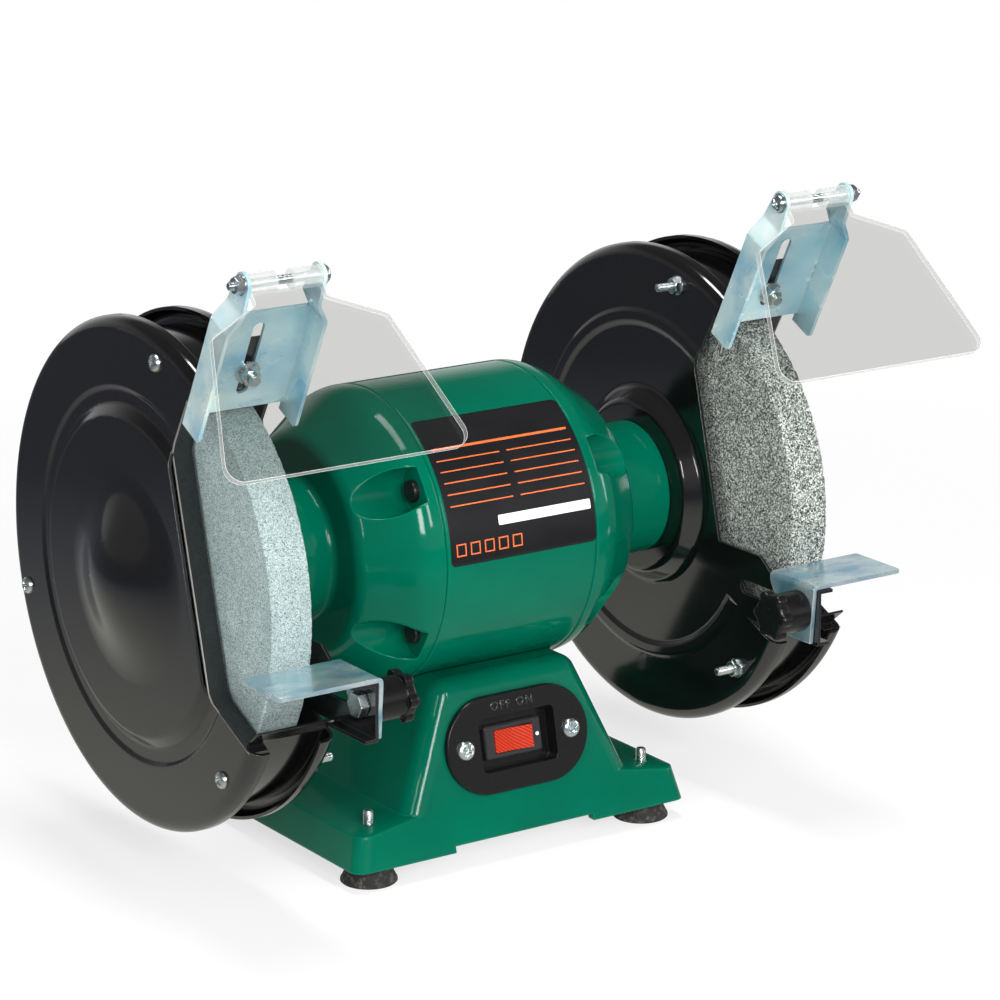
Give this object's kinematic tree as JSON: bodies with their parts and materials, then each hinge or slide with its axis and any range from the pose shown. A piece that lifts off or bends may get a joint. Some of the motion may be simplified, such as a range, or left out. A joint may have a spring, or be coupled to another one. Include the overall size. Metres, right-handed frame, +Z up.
{
  "type": "bench grinder",
  "caption": "Bench grinder with a guarded grinding wheel at each end of a motor shaft, hinged clear eye shields, sliding tool rests and a rocker switch on a cast pedestal.",
  "frame": {"origin": "on the bench top, under the middle of the motor shaft", "axes": "+X along the motor shaft to the coarse wheel, -Y towards the operator, +Z up from the bench"},
  "size_m": [0.3928, 0.2667, 0.2986],
  "materials": {
    "green_paint": "deep green gloss enamel",
    "black_paint": "black gloss enamel",
    "zinc_plate": "bright bluish zinc plate",
    "steel": "turned steel",
    "fine_grit": "fine bonded abrasive, pale grey",
    "coarse_grit": "coarse bonded abrasive, speckled grey",
    "clear_plastic": "clear moulded polycarbonate",
    "black_plastic": "black moulded plastic, fine grain",
    "red_plastic": "red translucent rocker",
    "rubber": "black rubber",
    "copper": "varnished copper wire",
    "cast_aluminium": "cast or drawn aluminium",
    "paper": "blotting paper"
  },
  "bodies": {
    "frame": {"base_bottom_plate": "zinc_plate", "base_pedestal": "green_paint", "bell_screws": "zinc_plate", "bottom_plate_screws": "zinc_plate", "capacitor": "cast_aluminium", "capacitor_clamp": "zinc_plate", "cord_grommet": "rubber", "foot_screws": "zinc_plate", "guard_nuts": "zinc_plate", "guard_screws": "zinc_plate", "hub_screws": "zinc_plate", "left_bearing_balls": "steel", "left_bearing_outer_ring": "steel", "left_end_bell": "green_paint", "left_guard_band": "black_paint", "left_inner_guard_plate": "black_paint", "left_outer_cover": "black_paint", "motor_screws": "zinc_plate", "motor_tube": "green_paint", "right_bearing_balls": "steel", "right_bearing_outer_ring": "steel", "right_end_bell": "green_paint", "right_guard_band": "black_paint", "right_inner_guard_plate": "black_paint", "right_outer_cover": "black_paint", "rubber_feet": "rubber", "shield_clamp_bolts": "zinc_plate", "shield_clamp_nuts": "zinc_plate", "stator_core": "steel", "stator_windings": "copper", "switch_body": "black_plastic", "switch_plate": "black_plastic", "switch_plate_screws": "zinc_plate"},
    "rotor": {"shaft": "steel", "rotor_core": "steel", "rotor_end_rings": "cast_aluminium", "wheel_blotters": "paper", "wheel_inner_flanges": "steel", "wheel_outer_flanges": "steel", "wheel_nuts": "steel", "left_grinding_wheel": "fine_grit", "right_grinding_wheel": "coarse_grit", "left_bearing_inner_ring": "steel", "right_bearing_inner_ring": "steel"},
    "rocker": {"switch_rocker": "red_plastic"},
    "left_bracket": {"left_shield_bracket": "zinc_plate", "left_pivot_screw": "zinc_plate", "left_pivot_nut": "zinc_plate"},
    "left_shield": {"left_eye_shield": "clear_plastic"},
    "left_rest": {"left_tool_rest": "zinc_plate", "left_rest_bolt": "zinc_plate"},
    "left_knob": {"left_rest_knob": "black_plastic"},
    "right_bracket": {"right_shield_bracket": "zinc_plate", "right_pivot_screw": "zinc_plate", "right_pivot_nut": "zinc_plate"},
    "right_shield": {"right_eye_shield": "clear_plastic"},
    "right_rest": {"right_tool_rest": "zinc_plate", "right_rest_bolt": "zinc_plate"},
    "right_knob": {"right_rest_knob": "black_plastic"}
  },
  "joints": [
    {"name": "wheel_spin", "type": "hinge", "parent": "frame", "child": "rotor", "pos_m": [0, 0, 0.142], "axis": [1, 0, 0], "continuous": true},
    {"name": "switch_rock", "type": "hinge", "parent": "frame", "child": "rocker", "pos_m": [0, -0.05928, 0.05322], "axis": [0, 0.1961, 0.9806], "range_deg": [0, 16]},
    {"name": "left_bracket_slide", "type": "slide", "parent": "frame", "child": "left_bracket", "axis": [0, -0.454, 0.891], "range_m": [-0.0005, 0.009]},
    {"name": "left_shield_tilt", "type": "hinge", "parent": "left_bracket", "child": "left_shield", "pos_m": [-0.139, -0.09571, 0.28953], "axis": [-1, 0, 0], "range_deg": [-15, 100]},
    {"name": "left_rest_slide", "type": "slide", "parent": "frame", "child": "left_rest", "axis": [0, 1, 0], "range_m": [-0.0024, 0.003]},
    {"name": "left_knob_turn", "type": "hinge", "parent": "left_rest", "child": "left_knob", "pos_m": [-0.105, -0.12384, 0.11], "axis": [1, 0, 0], "continuous": true},
    {"name": "right_bracket_slide", "type": "slide", "parent": "frame", "child": "right_bracket", "axis": [0, -0.454, 0.891], "range_m": [-0.0045, 0.0048]},
    {"name": "right_shield_tilt", "type": "hinge", "parent": "right_bracket", "child": "right_shield", "pos_m": [0.139, -0.09761, 0.29327], "axis": [-1, 0, 0], "range_deg": [-15, 100]},
    {"name": "right_rest_slide", "type": "slide", "parent": "frame", "child": "right_rest", "axis": [0, 1, 0], "range_m": [-0.0039, 0.0015]},
    {"name": "right_knob_turn", "type": "hinge", "parent": "right_rest", "child": "right_knob", "pos_m": [0.105, -0.12232, 0.11], "axis": [1, 0, 0], "continuous": true}
  ]
}
